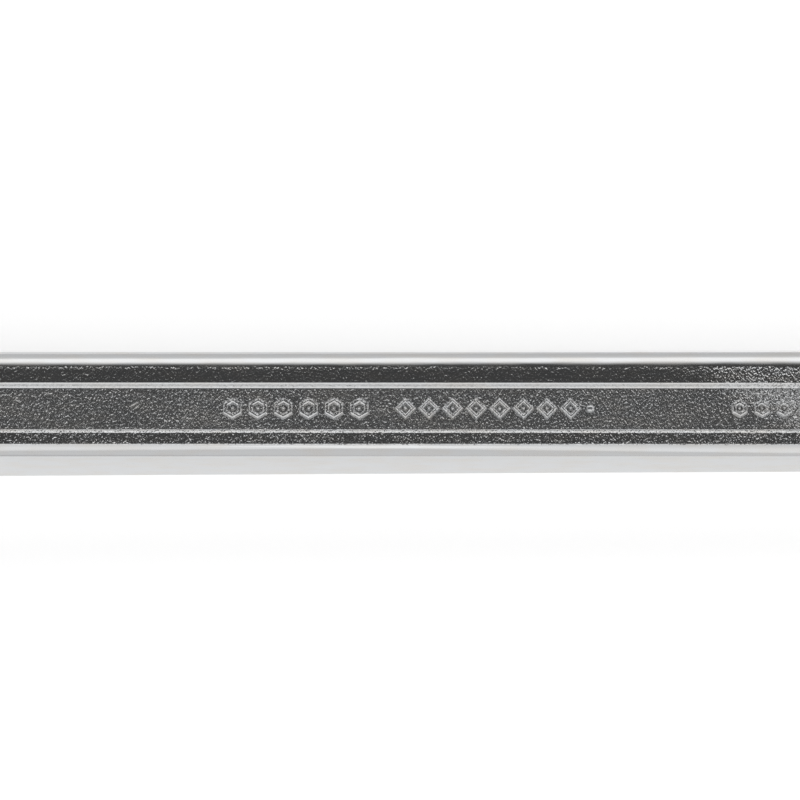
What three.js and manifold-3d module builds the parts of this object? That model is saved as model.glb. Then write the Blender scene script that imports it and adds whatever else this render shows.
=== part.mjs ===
// Reversible ratcheting combination wrench for 17 mm hexagons, in millimetres, +Z up.
// The wrench lies flat: +X runs along the shank from the ratchet ring to the open end, and the origin is
// under the middle of its length, on the surface it lies on. "u" is the distance from the ring's axis
// towards the open end, and "v" is the distance across, along +Y.

import * as THREE from "three";
import { mergeVertices } from "three/addons/utils/BufferGeometryUtils.js";
import Module from "manifold-3d";

const wasm = await Module();
wasm.setup();

// Overall
const LENGTH = 225;
const HEX_ACROSS_FLATS = 17.2;
const RING_RADIUS = 16;
const RING_THICKNESS = 11;
const MID_Z = RING_THICKNESS / 2;
const RING_X = -LENGTH / 2 + RING_RADIUS;
const RUNNING_GAP = 0.15;

// Shank section, without its recessed panels
const SHANK_WIDTH = 13;
const SHANK_HALF_AT_RING_END = 3.45;
const SHANK_HALF_AT_JAW_END = 2.7;
const SHOULDER_DROP = 0.8;
const NEAR_SHOULDER = 1.15;
const FAR_SHOULDER = 2.1;

// Recessed panel in each broad face of the shank
const PANEL_LENGTH = 100;
const PANEL_FLOOR_WIDTH = 5.3;
const PANEL_WALL_RUN = 0.6;
const PANEL_DEPTH = 0.4;
const PANEL_SHIFT_Y = -0.7;

// Open end
const JAW_THICKNESS = 8;
const JAW_OUTER_RADIUS = 18;
const JAW_ANGLE = THREE.MathUtils.degToRad(15);
const JAW_TIP = 11;
const JAW_TIP_ROUND = 3.5;
const JAW_EDGE_BEVEL = 0.9;
const JAW_CORNER = {
  x: JAW_TIP - JAW_TIP_ROUND,
  y: Math.sqrt((JAW_OUTER_RADIUS - JAW_TIP_ROUND) ** 2 - (JAW_TIP - JAW_TIP_ROUND) ** 2),
};
// From the hexagon's centre to the furthest tip, along X
const JAW_REACH = JAW_CORNER.x * Math.cos(JAW_ANGLE) + JAW_CORNER.y * Math.sin(JAW_ANGLE) + JAW_TIP_ROUND;
const JAW_X = LENGTH / 2 - JAW_REACH;

// Ratchet ring and gear, heights from the bottom face
const GEAR_TEETH = 72;
const GEAR_TIP_RADIUS = 12.5;
const GEAR_ROOT_RADIUS = 11.85;
const GEAR_BOSS_RADIUS = 11.3;
const GEAR_BAND = [2.0, 9.4];
const GEAR_ENDS = [0.15, 10.85];
const BORE_RADIUS = GEAR_TIP_RADIUS + 0.2;
const LIP_RADIUS = GEAR_BOSS_RADIUS + 0.2;
const LIP_Z = GEAR_BAND[1] + 0.2;
const EDGE_ROUND = 0.8;
const CIRCLIP_GROOVE = { radius: 13.5, z: [0.5, 1.5] };
const CIRCLIP = { inner: 11.75, outer: 13.35, z: [0.6, 1.4], gap: 0.16 };

// Lever boss behind the ring, and the pocket under it
const DECK_HALF = 4.1;
const POCKET_Z = [3.4, 8.0];
const PAWL_PIN_U = 16.2;
const PAWL_PIN_RADIUS = 1.2;
const PAWL_TILT = THREE.MathUtils.degToRad(5);
const PAWL_TILT_STEPS = 10;
const PAWL_Z = [3.55, 7.85];
const LEVER_U = 25;
const LEVER_TURN = THREE.MathUtils.degToRad(25);
const STEM_RADIUS = 2.8;
const STEM_FOOT_Z = 1.6;
const KNOB = { radius: 5, z: [MID_Z + DECK_HALF + 0.15, 11.9], round: 0.5 };
const TAB = { reach: 9, rootWidth: 6, tipWidth: 3.6, z: [10.1, 11.5] };
const SEAL = { z: MID_Z + DECK_HALF - 0.37, ring: 3.25, wire: 0.35, recess: 3.75, depth: 0.8 };
const CLIP = { inner: 2.25, outer: 4, z: [1.7, 2.2], recess: 4.4, recessTop: 2.45 };
const PLUNGER = { radius: 1.15, bore: 0.8, tail: 1.9, tip: 6.3, z: (PAWL_Z[0] + PAWL_Z[1]) / 2 };
const PLUNGER_SEAT = -1.7; // blind end of the stem's cross hole, past the lever's axis
const SPRING = { wire: 0.17, coil: 0.5, turns: 7, from: -1.4, to: 4.3 };

const CUT = 1; // how far a cutter runs past the face it opens

const CHROME = { color: 0xc4c6c8, roughness: 0.18, metalness: 1 };
const GEAR_STEEL = { color: 0xb9bbbd, roughness: 0.28, metalness: 1 };
const BLACK_STEEL = { color: 0x2b2c2e, roughness: 0.45, metalness: 0.9 };
const SPRING_STEEL = { color: 0x8c8e90, roughness: 0.35, metalness: 1 };
const SEAL_RUBBER = { color: 0x1a1a1b, roughness: 0.8, metalness: 0 };

// ---- Solids -----------------------------------------------------------------------------------

// A closed three.js geometry as a manifold solid.
function solid(geometry) {
  const bare = geometry.index ? geometry.toNonIndexed() : geometry.clone();
  bare.deleteAttribute("normal");
  bare.deleteAttribute("uv");
  const merged = mergeVertices(bare, 1e-4);
  return new wasm.Manifold(
    new wasm.Mesh({
      numProp: 3,
      vertProperties: merged.attributes.position.array,
      triVerts: new Uint32Array(merged.index.array),
    }),
  );
}

function geometryOf(made) {
  const mesh = made.getMesh();
  return new THREE.BufferGeometry()
    .setAttribute("position", new THREE.BufferAttribute(mesh.vertProperties, 3))
    .setIndex(new THREE.BufferAttribute(mesh.triVerts, 1));
}

// A plan outline made solid between two heights.
function plate(shape, [low, high], options = {}) {
  const settings = { depth: high - low, bevelEnabled: false, curveSegments: 24, ...options };
  return solid(new THREE.ExtrudeGeometry(shape, settings).translate(0, 0, low));
}

// A profile of [radius, height] points turned about the Z axis. The profile closes on itself or on the axis.
function turned(profile, segments = 72) {
  const points = profile.map(([radius, z]) => new THREE.Vector2(radius, z));
  return solid(new THREE.LatheGeometry(points, segments).rotateX(Math.PI / 2));
}

function rod(radius, [low, high], segments = 32) {
  const height = high - low;
  const upright = new THREE.CylinderGeometry(radius, radius, height, segments).rotateX(Math.PI / 2);
  return solid(upright.translate(0, 0, low + height / 2));
}

function at(made, x, y = 0, z = 0) {
  return made.translate([x, y, z]);
}

// The same shape on the wrench's lower side.
function below(made) {
  return made.translate([0, 0, -MID_Z]).mirror([0, 0, 1]).translate([0, 0, MID_Z]);
}

// Turned about an upright axis through (x, y).
function swung(made, angle, x, y = 0) {
  const degrees = THREE.MathUtils.radToDeg(angle);
  return made.translate([-x, -y, 0]).rotate([0, 0, degrees]).translate([x, y, 0]);
}

function outline(points) {
  return new THREE.Shape(points.map(([x, y]) => new THREE.Vector2(x, y)));
}

// A flat ring with a gap in it, in plan. gap is half the opening's angle, centred on the +X direction.
function openRing(inner, outer, gap) {
  const shape = new THREE.Shape();
  shape.absarc(0, 0, outer, gap, 2 * Math.PI - gap, false);
  shape.absarc(0, 0, inner, 2 * Math.PI - gap, gap, true);
  shape.closePath();
  return shape;
}

// Height of a smooth curve through [position, value] points.
function smoothThrough(points, position) {
  const next = points.findIndex(([place]) => place > position);
  if (next === 0) return points[0][1];
  if (next < 0) return points[points.length - 1][1];
  const [a, from] = points[next - 1];
  const [b, to] = points[next];
  return THREE.MathUtils.lerp(from, to, THREE.MathUtils.smoothstep(position, a, b));
}

// ---- Forged body ------------------------------------------------------------------------------

// Half-width of the neck and shank along u, and half-thickness along u.
const NECK_U = LENGTH - RING_RADIUS - JAW_REACH; // u of the open end's hexagon centre
const PROFILE_CURVE = new THREE.SplineCurve(
  [
    [6, 14.0], [12, 12.3], [18, 10.2], [25, 8.6], [33, 7.3], [42, 6.6], [52, 6.5],
    [NECK_U - 52, 6.5], [NECK_U - 40, 6.6], [NECK_U - 30, 7.2],
    [NECK_U - 21, 9.0], [NECK_U - 14, 11.9], [NECK_U - 9, 14.2],
  ].map(([u, w]) => new THREE.Vector2(u, w)),
);
const HALF_WIDTHS = PROFILE_CURVE.getPoints(240);
const HALF_THICKNESSES = [
  [30, DECK_HALF], [46, SHANK_HALF_AT_RING_END],
  [NECK_U - 47, SHANK_HALF_AT_JAW_END], [NECK_U - 22, JAW_THICKNESS / 2 - 0.5],
];

function halfWidth(u) {
  const next = HALF_WIDTHS.findIndex((point) => point.x > u);
  if (next <= 0) return HALF_WIDTHS.at(next).y;
  const [a, b] = [HALF_WIDTHS[next - 1], HALF_WIDTHS[next]];
  return THREE.MathUtils.mapLinear(u, a.x, b.x, a.y, b.y);
}

// Between the necks the shank tapers straight, and it swells smoothly into each neck.
function halfThickness(u) {
  const [, [taperStart, thick], [taperEnd, thin]] = HALF_THICKNESSES;
  if (u > taperStart && u < taperEnd) return THREE.MathUtils.mapLinear(u, taperStart, taperEnd, thick, thin);
  return smoothThrough(HALF_THICKNESSES, u);
}

// Shank section of unit half-width and unit half-thickness: flat sides, rounded shoulders, flat broad faces.
function unitSection() {
  const halfWide = SHANK_WIDTH / 2;
  const halfThick = (SHANK_HALF_AT_RING_END + SHANK_HALF_AT_JAW_END) / 2;
  const near = -1 + NEAR_SHOULDER / halfWide;
  const far = 1 - FAR_SHOULDER / halfWide;
  const side = 1 - SHOULDER_DROP / halfThick;
  const shape = new THREE.Shape();
  shape.moveTo(-1, -side);
  shape.quadraticCurveTo((-1 + near) / 2 - 0.03, -1 + 0.05, near, -1);
  shape.lineTo(far, -1);
  shape.quadraticCurveTo((1 + far) / 2 + 0.07, -1 + 0.02, 1, -side);
  shape.lineTo(1, side);
  shape.quadraticCurveTo((1 + far) / 2 + 0.07, 1 - 0.02, far, 1);
  shape.lineTo(near, 1);
  shape.quadraticCurveTo((-1 + near) / 2 - 0.03, 1 - 0.05, -1, side);
  return shape;
}

// The shank with both necks: one section drawn along X, its width and thickness following the two profiles.
function shankWithNecks() {
  const [start, end] = [6, NECK_U - 9];
  const geometry = new THREE.ExtrudeGeometry(unitSection(), {
    depth: end - start,
    steps: 44,
    bevelEnabled: false,
    curveSegments: 3,
  });
  geometry.rotateX(Math.PI / 2).rotateZ(Math.PI / 2).translate(start, 0, 0);
  const place = geometry.attributes.position;
  for (let i = 0; i < place.count; i++) {
    const u = place.getX(i);
    place.setXYZ(i, u + RING_X, place.getY(i) * halfWidth(u), MID_Z + place.getZ(i) * halfThickness(u));
  }
  return solid(geometry);
}

function ringHead() {
  const [low, high] = [0, RING_THICKNESS];
  const inside = BORE_RADIUS - 2;
  return turned([
    [inside, low],
    [RING_RADIUS - EDGE_ROUND, low],
    [RING_RADIUS - EDGE_ROUND * 0.3, low + EDGE_ROUND * 0.3],
    [RING_RADIUS, low + EDGE_ROUND],
    [RING_RADIUS, high - EDGE_ROUND],
    [RING_RADIUS - EDGE_ROUND * 0.3, high - EDGE_ROUND * 0.3],
    [RING_RADIUS - EDGE_ROUND, high],
    [inside, high],
    [inside, low],
  ]);
}

// The open end's outline about its hexagon's centre, the opening along +X: a disc cut off across the jaw
// tips, with rounded corners.
function jawOutline(inset) {
  const { x, y } = JAW_CORNER;
  const round = JAW_TIP_ROUND - inset;
  const meets = Math.atan2(y, x);
  const shape = new THREE.Shape();
  shape.absarc(0, 0, JAW_OUTER_RADIUS - inset, meets, 2 * Math.PI - meets, false);
  shape.absarc(x, -y, round, -meets, 0, false);
  shape.lineTo(x + round, y);
  shape.absarc(x, y, round, 0, meets, false);
  return shape;
}

function openHead() {
  const half = JAW_THICKNESS / 2;
  return plate(jawOutline(JAW_EDGE_BEVEL), [MID_Z - half + JAW_EDGE_BEVEL, MID_Z + half - JAW_EDGE_BEVEL], {
    bevelEnabled: true,
    bevelThickness: JAW_EDGE_BEVEL,
    bevelSize: JAW_EDGE_BEVEL,
    bevelSegments: 2,
    curveSegments: 16,
  });
}

// The opening between the jaws: two parallel flats and a throat that follows the hexagon's back corner.
function jawOpening() {
  const half = HEX_ACROSS_FLATS / 2;
  const backCorner = half / Math.cos(Math.PI / 6);
  const relief = 0.5;
  const shape = new THREE.Shape();
  shape.moveTo(JAW_TIP + 8, -half);
  shape.lineTo(JAW_TIP + 8, half);
  shape.lineTo(-backCorner / 2 + relief, half);
  shape.quadraticCurveTo(-backCorner + relief, half - relief, -backCorner, half / 2);
  shape.quadraticCurveTo(-backCorner - 2 * relief, 0, -backCorner, -half / 2);
  shape.quadraticCurveTo(-backCorner + relief, -half + relief, -backCorner / 2 + relief, -half);
  return plate(shape, [-CUT, RING_THICKNESS + CUT]);
}

// The void of the upper face's panel: its floor at PANEL_DEPTH, its walls sloping out to a face that tapers.
function panelVoid() {
  const floorHalf = PANEL_FLOOR_WIDTH / 2;
  const straight = PANEL_LENGTH / 2 - floorHalf;
  const shape = new THREE.Shape();
  shape.absarc(straight, 0, floorHalf, -Math.PI / 2, Math.PI / 2, false);
  shape.absarc(-straight, 0, floorHalf, Math.PI / 2, (3 * Math.PI) / 2, false);
  const geometry = new THREE.ExtrudeGeometry(shape, {
    depth: CUT,
    curveSegments: 8,
    bevelThickness: PANEL_DEPTH,
    bevelSize: PANEL_WALL_RUN,
    bevelSegments: 1,
  });
  const place = geometry.attributes.position;
  for (let i = 0; i < place.count; i++) {
    const face = MID_Z + halfThickness(place.getX(i) - RING_X);
    place.setXYZ(i, place.getX(i), place.getY(i) + PANEL_SHIFT_Y, place.getZ(i) + face);
  }
  return solid(geometry);
}

// Void inside the ring: the gear's bore, the lip it stops against, and the groove its circlip springs into.
function gearBore() {
  const bore = turned([
    [0, -CUT],
    [BORE_RADIUS + CUT + 0.4, -CUT],
    [BORE_RADIUS, 0.4],
    [BORE_RADIUS, LIP_Z],
    [LIP_RADIUS, LIP_Z],
    [LIP_RADIUS, RING_THICKNESS - 0.3],
    [LIP_RADIUS + 0.3 + CUT, RING_THICKNESS + CUT],
    [0, RING_THICKNESS + CUT],
  ]);
  return bore.add(rod(CIRCLIP_GROOVE.radius, CIRCLIP_GROOVE.z, 72));
}

// Void behind the bore for the pawl to rock in and for the plunger to swing in.
function pawlPocket() {
  const half = [
    [9, 7.3],
    [18.3, 7.3],
    [19.2, 6.4],
    [19.2, 4.7],
    [LEVER_U - 2, 3.1],
  ];
  const across = half.map(([u, v]) => [u, -v]).reverse();
  return plate(outline([...across, ...half].reverse()), POCKET_Z);
}

// Void for the lever's stem, its seal above and its clip below.
function leverHoles() {
  const deck = MID_Z + DECK_HALF;
  return rod(STEM_RADIUS + 0.2, [-CUT, deck + CUT])
    .add(rod(SEAL.recess, [deck - SEAL.depth, deck + CUT]))
    .add(rod(CLIP.recess, [-CUT, CLIP.recessTop]));
}

function wrenchBody() {
  const pinHole = rod(PAWL_PIN_RADIUS + RUNNING_GAP, [-CUT, PAWL_Z[1] + 1.2]);
  const jaws = openHead().rotate([0, 0, THREE.MathUtils.radToDeg(JAW_ANGLE)]);
  const opening = jawOpening().rotate([0, 0, THREE.MathUtils.radToDeg(JAW_ANGLE)]);
  const upperPanel = panelVoid();
  return shankWithNecks()
    .subtract(upperPanel)
    .subtract(below(upperPanel))
    .add(at(ringHead(), RING_X))
    .add(at(jaws, JAW_X))
    .subtract(at(opening, JAW_X))
    .subtract(at(gearBore(), RING_X))
    .subtract(at(pawlPocket(), RING_X))
    .subtract(at(pinHole, RING_X + PAWL_PIN_U))
    .subtract(at(leverHoles(), RING_X + LEVER_U));
}

// ---- Ratchet ----------------------------------------------------------------------------------

// A toothed disc in plan. clearance widens the teeth, for cutting a mating piece.
function toothedOutline(clearance = 0) {
  const pitch = (2 * Math.PI) / GEAR_TEETH;
  const tip = GEAR_TIP_RADIUS + clearance;
  const root = GEAR_ROOT_RADIUS + clearance;
  const [tipHalf, rootHalf] = [0.12 * pitch + clearance / tip, 0.36 * pitch + clearance / root];
  const points = [];
  for (let tooth = 0; tooth < GEAR_TEETH; tooth++) {
    const middle = tooth * pitch;
    for (const [radius, offset] of [[root, -rootHalf], [tip, -tipHalf], [tip, tipHalf], [root, rootHalf]]) {
      points.push([radius * Math.cos(middle + offset), radius * Math.sin(middle + offset)]);
    }
  }
  return outline(points);
}

// Twelve-point socket: two hexagons a twelfth of a turn apart, with a lead-in at each end.
function socketVoid() {
  const corner = HEX_ACROSS_FLATS / 2 / Math.cos(Math.PI / 6);
  const [low, high] = GEAR_ENDS;
  const hexagon = rod(corner, [low - CUT, high + CUT], 6);
  const leadIn = turned(
    [
      [0, high - 0.8],
      [HEX_ACROSS_FLATS / 2, high - 0.8],
      [corner + 0.3, high],
      [corner + 0.3, high + CUT],
      [0, high + CUT],
    ],
    48,
  );
  return hexagon
    .add(hexagon.rotate([0, 0, 30]))
    .add(leadIn)
    .add(below(leadIn));
}

function ratchetGear() {
  const chamfer = 0.3;
  const boss = turned([
    [0, GEAR_ENDS[0]],
    [GEAR_BOSS_RADIUS - chamfer, GEAR_ENDS[0]],
    [GEAR_BOSS_RADIUS, GEAR_ENDS[0] + chamfer],
    [GEAR_BOSS_RADIUS, GEAR_ENDS[1] - chamfer],
    [GEAR_BOSS_RADIUS - chamfer, GEAR_ENDS[1]],
    [0, GEAR_ENDS[1]],
  ]);
  return plate(toothedOutline(), GEAR_BAND).add(boss).subtract(socketVoid());
}

// Thin internal circlip that keeps the gear in its bore, its gap on the far side from the handle.
function gearCirclip() {
  const ring = plate(openRing(CIRCLIP.inner, CIRCLIP.outer, CIRCLIP.gap), CIRCLIP.z, { curveSegments: 30 });
  return ring.rotate([0, 0, 180]);
}

// Double-ended pawl about its pin, at rest with the +v end in mesh. The gear's teeth and the plunger's swing
// are cut from it at every tilt on its way over, so that it rocks free of both.
function pawlBlank() {
  const half = [
    [13.7, 1.8],
    [13.0, 2.5],
    [12.0, 2.75],
    [10.55, 6.35],
    [11.9, 6.7],
    [16.4, 6.2],
    [18.3, 4.4],
    [18.9, 3.6],
    [18.9, 0],
  ];
  const across = half.slice(0, -1).map(([u, v]) => [u, -v]).reverse();
  return plate(outline([...half, ...across].reverse()), PAWL_Z);
}

function pawl() {
  const cutter = plate(toothedOutline(0.1), [POCKET_Z[0] - CUT, POCKET_Z[1] + CUT]);
  const swing = at(rod(PLUNGER.tip + RUNNING_GAP, POCKET_Z, 72), LEVER_U);
  const pinHole = at(rod(PAWL_PIN_RADIUS + RUNNING_GAP, POCKET_Z), PAWL_PIN_U);
  let made = pawlBlank().subtract(pinHole);
  for (let step = 0; step <= PAWL_TILT_STEPS; step++) {
    const tilt = THREE.MathUtils.lerp(-PAWL_TILT, PAWL_TILT, step / PAWL_TILT_STEPS);
    made = made.subtract(swung(cutter.add(swing), tilt, PAWL_PIN_U));
  }
  return swung(made, PAWL_TILT, PAWL_PIN_U);
}

function pawlPin() {
  return rod(PAWL_PIN_RADIUS, [MID_Z - DECK_HALF + 0.2, PAWL_Z[1] + 1]);
}

// ---- Reversing lever, about its own axis, its plunger pointing to the ring ----------------------

function knobWithTab() {
  const [low, high] = KNOB.z;
  const disc = turned(
    [
      [0, low],
      [KNOB.radius - 0.2, low],
      [KNOB.radius, low + 0.2],
      [KNOB.radius, high - KNOB.round],
      [KNOB.radius - 0.15, high - 0.15],
      [KNOB.radius - KNOB.round, high],
      [0, high],
    ],
    56,
  );
  const tab = new THREE.Shape();
  tab.moveTo(0, -TAB.rootWidth / 2);
  tab.lineTo(TAB.reach - TAB.tipWidth / 2, -TAB.tipWidth / 2);
  tab.absarc(TAB.reach - TAB.tipWidth / 2, 0, TAB.tipWidth / 2, -Math.PI / 2, Math.PI / 2, false);
  tab.lineTo(0, TAB.rootWidth / 2);
  return disc.add(plate(tab, TAB.z, { curveSegments: 8 }));
}

function reverseLever() {
  const crossHole = new THREE.CylinderGeometry(
    PLUNGER.radius + RUNNING_GAP,
    PLUNGER.radius + RUNNING_GAP,
    STEM_RADIUS + CUT - PLUNGER_SEAT,
    24,
  );
  crossHole.rotateZ(Math.PI / 2).translate(-(STEM_RADIUS + CUT + PLUNGER_SEAT) / 2, 0, PLUNGER.z);
  const groove = rod(STEM_RADIUS + CUT, [CLIP.z[0] - 0.1, CLIP.z[1] + 0.1]).subtract(
    rod(CLIP.inner - RUNNING_GAP, [CLIP.z[0] - CUT, CLIP.z[1] + CUT]),
  );
  return knobWithTab()
    .add(rod(STEM_RADIUS, [STEM_FOOT_Z - 0.15, KNOB.z[0] + 0.3]))
    .subtract(solid(crossHole))
    .subtract(groove);
}

function leverSeal() {
  return solid(new THREE.TorusGeometry(SEAL.ring, SEAL.wire, 8, 28).translate(0, 0, SEAL.z));
}

function leverClip() {
  return plate(openRing(CLIP.inner, CLIP.outer, 0.75), CLIP.z, { curveSegments: 20 });
}

// Hollow cap with a round nose. Its axis is along -X of the lever.
function plunger() {
  const { radius, bore, tail, tip } = PLUNGER;
  const nose = [];
  for (let step = 0; step <= 4; step++) {
    const angle = (step / 4) * (Math.PI / 2);
    nose.push([radius * Math.cos(angle), tip - radius + radius * Math.sin(angle)]);
  }
  const profile = [[0, tip - radius - 0.6], [bore, tip - radius - 0.6], [bore, tail], [radius, tail], ...nose];
  return at(turned(profile, 20).rotate([0, -90, 0]), 0, 0, PLUNGER.z);
}

class Helix extends THREE.Curve {
  getPoint(t, target = new THREE.Vector3()) {
    const angle = t * SPRING.turns * 2 * Math.PI;
    const along = THREE.MathUtils.lerp(SPRING.from, SPRING.to, t);
    return target.set(-along, SPRING.coil * Math.cos(angle), SPRING.coil * Math.sin(angle) + PLUNGER.z);
  }
}

function plungerSpring() {
  const wire = new THREE.Shape().absarc(0, 0, SPRING.wire, 0, 2 * Math.PI, false);
  return solid(
    new THREE.ExtrudeGeometry(wire, {
      steps: SPRING.turns * 10,
      curveSegments: 3,
      bevelEnabled: false,
      extrudePath: new Helix(),
    }),
  );
}

// ---- Assembly ---------------------------------------------------------------------------------

function piece(name, made, finish) {
  const mesh = new THREE.Mesh(geometryOf(made), new THREE.MeshStandardMaterial(finish));
  mesh.name = name;
  return mesh;
}

const ring = new THREE.Group();
ring.position.x = RING_X;
ring.add(
  piece("ratchet_gear", ratchetGear(), GEAR_STEEL),
  piece("gear_circlip", gearCirclip(), BLACK_STEEL),
  piece("pawl", pawl(), GEAR_STEEL),
  piece("pawl_pin", at(pawlPin(), PAWL_PIN_U), GEAR_STEEL),
);

const lever = new THREE.Group();
lever.position.x = RING_X + LEVER_U;
lever.rotation.z = -LEVER_TURN;
lever.add(
  piece("reverse_lever", reverseLever(), BLACK_STEEL),
  piece("lever_seal", leverSeal(), SEAL_RUBBER),
  piece("lever_clip", leverClip(), SPRING_STEEL),
  piece("plunger", plunger(), GEAR_STEEL),
  piece("plunger_spring", plungerSpring(), SPRING_STEEL),
);

const wrench = new THREE.Group();
wrench.add(piece("wrench_body", wrenchBody(), CHROME), ring, lever);

export default wrench;
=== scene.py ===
import math

import bmesh
import bpy
from mathutils import Matrix, Quaternion, Vector


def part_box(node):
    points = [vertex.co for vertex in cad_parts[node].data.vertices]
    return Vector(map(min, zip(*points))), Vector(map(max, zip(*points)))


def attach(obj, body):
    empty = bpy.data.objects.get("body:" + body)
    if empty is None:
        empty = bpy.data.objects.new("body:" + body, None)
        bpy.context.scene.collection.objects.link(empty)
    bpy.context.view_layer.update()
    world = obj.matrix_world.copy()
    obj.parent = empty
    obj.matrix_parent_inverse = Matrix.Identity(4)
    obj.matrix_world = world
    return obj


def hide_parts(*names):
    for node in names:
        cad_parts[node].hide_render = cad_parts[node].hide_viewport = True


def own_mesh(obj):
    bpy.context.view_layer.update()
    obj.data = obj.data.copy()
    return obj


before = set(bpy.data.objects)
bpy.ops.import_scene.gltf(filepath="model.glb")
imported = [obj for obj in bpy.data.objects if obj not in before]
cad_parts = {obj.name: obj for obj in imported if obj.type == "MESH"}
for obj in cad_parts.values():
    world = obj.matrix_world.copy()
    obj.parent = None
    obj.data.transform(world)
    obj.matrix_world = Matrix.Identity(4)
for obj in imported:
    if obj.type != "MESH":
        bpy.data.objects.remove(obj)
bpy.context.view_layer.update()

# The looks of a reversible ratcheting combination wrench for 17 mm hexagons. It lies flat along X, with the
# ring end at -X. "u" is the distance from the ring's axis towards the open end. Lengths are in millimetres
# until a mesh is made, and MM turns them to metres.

MM = 0.001
MERGE = 0.002  # points closer than this are one
PAST_FACE = 1.0  # how far a cutter stands clear of the face that it goes through

# Places from the frame
BODY_LOW, BODY_HIGH = (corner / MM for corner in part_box("wrench_body"))
GEAR_LOW, GEAR_HIGH = (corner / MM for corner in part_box("ratchet_gear"))
SEAL_LOW, SEAL_HIGH = (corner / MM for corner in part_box("lever_seal"))
PIN_LOW, PIN_HIGH = (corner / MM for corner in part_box("pawl_pin"))
RING_X = (GEAR_LOW.x + GEAR_HIGH.x) / 2
LEVER_X = (SEAL_LOW.x + SEAL_HIGH.x) / 2
PIN_X = (PIN_LOW.x + PIN_HIGH.x) / 2
MID_Z = BODY_HIGH.z / 2
RING_RADIUS = RING_X - BODY_LOW.x
RING_TOP = BODY_HIGH.z

# Shank section
SHANK_HALF_WIDTH = 6.5
HALF_AT_RING_END = 3.45
HALF_AT_JAW_END = 2.7
NEAR_DROP = 0.8
NEAR_DROP_BELOW = 0.42
FAR_DROP = 0.85
NEAR_SHOULDER = 1.19
FAR_SHOULDER = 2.72
DECK_HALF = 4.1
DECK_TOP = MID_Z + DECK_HALF

# Panel in each broad face
PANEL_LENGTH = 100.0
PANEL_FLOOR = 5.05
PANEL_SHIFT = -0.825
PANEL_DEPTH = 0.4

# Open end
JAW_RADIUS = 18.0
JAW_TIP = 11.0
JAW_TIP_ROUND = 3.5
JAW_ANGLE = math.radians(15)
JAW_HALF = 4.0
JAW_EDGE = 1.3
JAW_CHAMFER = 0.45
HEX_HALF = 8.6
HEX_CORNER = HEX_HALF / math.cos(math.pi / 6)
JAW_CORNER_X = JAW_TIP - JAW_TIP_ROUND
JAW_CORNER_Y = math.sqrt((JAW_RADIUS - JAW_TIP_ROUND) ** 2 - JAW_CORNER_X**2)
JAW_REACH = JAW_CORNER_X * math.cos(JAW_ANGLE) + JAW_CORNER_Y * math.sin(JAW_ANGLE) + JAW_TIP_ROUND
JAW_X = BODY_HIGH.x - JAW_REACH
NECK_U = JAW_X - RING_X

# Ratchet ring, its gear, and the voids behind it
RING_EDGE = 1.1
BORE_RADIUS = 12.7
LIP_RADIUS = 11.5
LIP_Z = 9.6
GROOVE_RADIUS = 13.5
GROOVE_Z = (0.5, 1.5)
CIRCLIP_RADII = (11.75, 13.35)
CIRCLIP_Z = (0.6, 1.4)
CIRCLIP_GAP = 0.16
GEAR_TEETH = 72
GEAR_TIP = 12.5
GEAR_ROOT = 11.85
GEAR_BAND = (2.0, 9.4)
BOSS_RADIUS = 11.3
BOSS_Z = (0.15, 10.85)
POCKET_Z = (3.4, 8.0)
PIN_RADIUS = 1.2
PIN_HOLE = (1.35, 9.05)

# Reversing lever. Its own parts are made about its axis with the thumb tab along +X, then turned to rest
LEVER_REST = math.radians(-25)
KNOB_RADIUS = 5.0
KNOB_Z = (9.75, 11.9)
TAB_REACH = 9.0
TAB_ROOT = 6.0
TAB_TIP = 3.6
TAB_Z = (10.1, 11.5)
TAB_GROOVES = (5.9, 6.8, 7.7)
STEM_RADIUS = 2.8
STEM_HOLE = 3.0
SEAL_RECESS = (3.75, 0.8)
SEAL_RING = 3.25
SEAL_WIRE = 0.35
SEAL_PRESSED = 0.32  # from here outwards the wire is pressed flat
SEAL_Z = 9.23
CLIP_RADII = (2.25, 4.0)
CLIP_Z = (1.7, 2.2)
CLIP_GAP = 0.75
CLIP_RECESS = (4.4, 2.45)
PLUNGER_Z = 5.7
PLUNGER_RADIUS = 1.15
PLUNGER_BORE = 0.8
PLUNGER_REACH = (1.9, 6.3)
CROSS_HOLE = (1.3, 1.7)
SPRING_WIRE = 0.17
SPRING_COIL = 0.5
SPRING_TURNS = 7
SPRING_REACH = (-1.4, 4.3)


# ---- Modelling tools --------------------------------------------------------------------------


def deselect():
    bpy.ops.object.select_all(action="DESELECT")


def pick(obj):
    deselect()
    obj.select_set(True)
    bpy.context.view_layer.objects.active = obj
    return obj


class Edit:
    """Edit mode on one object, with faces, edges and vertices selected by where they are."""

    def __init__(self, obj, mode="FACE"):
        self.obj = obj
        self.mode = mode

    def __enter__(self):
        pick(self.obj)
        bpy.ops.object.mode_set(mode="EDIT")
        bpy.ops.mesh.select_mode(type=self.mode)
        return self

    def __exit__(self, *_):
        bpy.ops.object.mode_set(mode="OBJECT")

    def all(self):
        bpy.ops.mesh.select_all(action="SELECT")

    def _choose(self, kind, test):
        bpy.ops.mesh.select_all(action="DESELECT")
        mesh = bmesh.from_edit_mesh(self.obj.data)
        for item in getattr(mesh, kind):
            item.select_set(test(item))
        mesh.select_flush_mode()
        bmesh.update_edit_mesh(self.obj.data)

    def faces(self, test):
        self._choose("faces", test)

    def edges(self, test):
        self._choose("edges", test)

    def vertices(self, test):
        self._choose("verts", test)


def outline(name, points):
    """A flat face whose corners are the given points, in millimetres."""
    deselect()
    bpy.ops.mesh.primitive_circle_add(vertices=len(points), fill_type="NGON")
    obj = bpy.context.object
    obj.name = name
    for vertex, point in zip(obj.data.vertices, points):
        vertex.co = Vector(point) * MM
    return obj


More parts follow.
